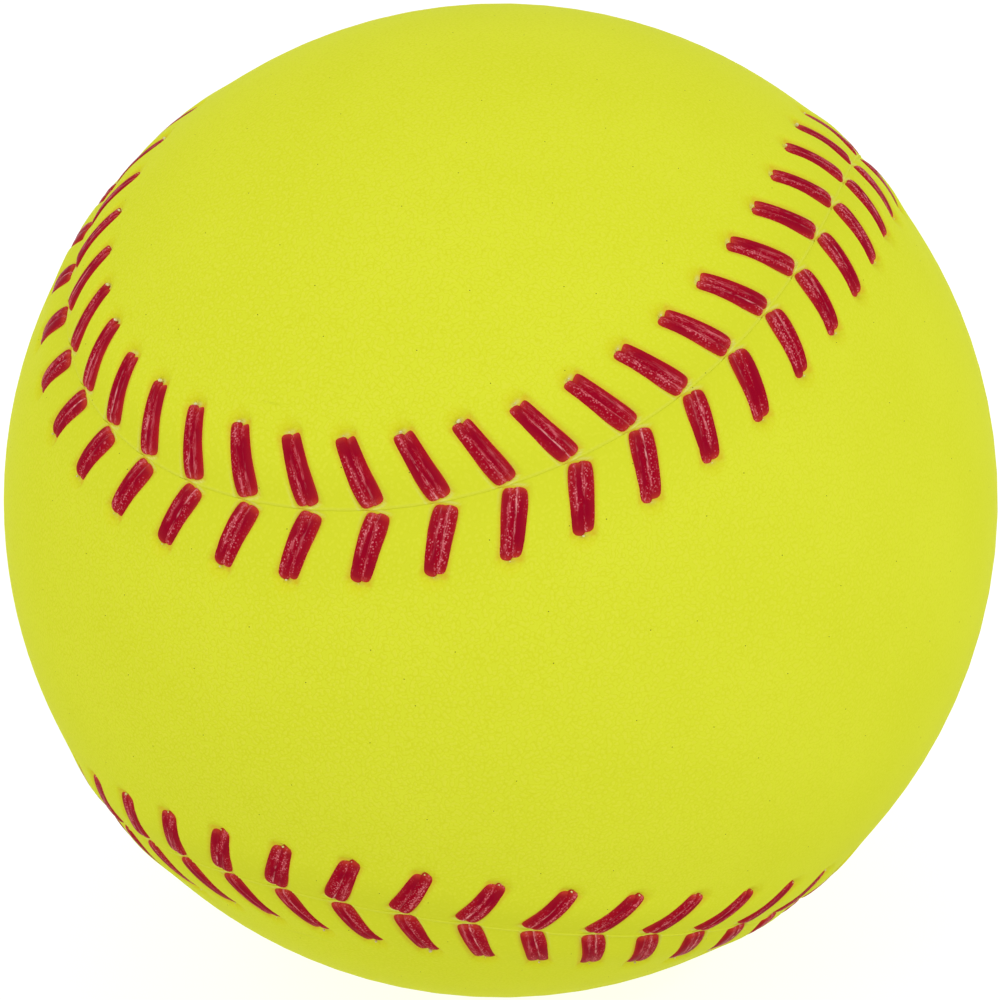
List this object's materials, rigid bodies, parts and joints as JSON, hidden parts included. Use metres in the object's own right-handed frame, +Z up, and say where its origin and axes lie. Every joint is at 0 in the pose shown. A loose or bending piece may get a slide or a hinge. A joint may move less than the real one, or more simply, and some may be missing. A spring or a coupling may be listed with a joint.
{
  "type": "softball",
  "caption": "Round sewn ball for bat and glove play: a solid core in a coat of cement, under interlocking skin panels on felt backing, laced along a winding seam.",
  "frame": {"origin": "centre of the ball", "axes": "+Z up. The waist of cover panel A crosses +Y and its lobes reach towards +Z and -Z. The waist of panel B crosses -Y and its lobes reach towards +X and -X."},
  "size_m": [0.097, 0.097, 0.097],
  "materials": {
    "core_foam": "moulded polyurethane, dull cream",
    "cement": "dried latex cement, dull amber",
    "backing_felt": "white needled felt",
    "cover_skin": "optic yellow synthetic leather, fine grain, satin",
    "thread": "red waxed thread, glossy"
  },
  "bodies": {
    "root": {"core": "core_foam", "cement_coat": "cement", "panel_a_backing": "backing_felt", "panel_a_skin": "cover_skin", "panel_b_backing": "backing_felt", "panel_b_skin": "cover_skin", "thread_a": "thread", "thread_b": "thread"}
  },
  "joints": []
}
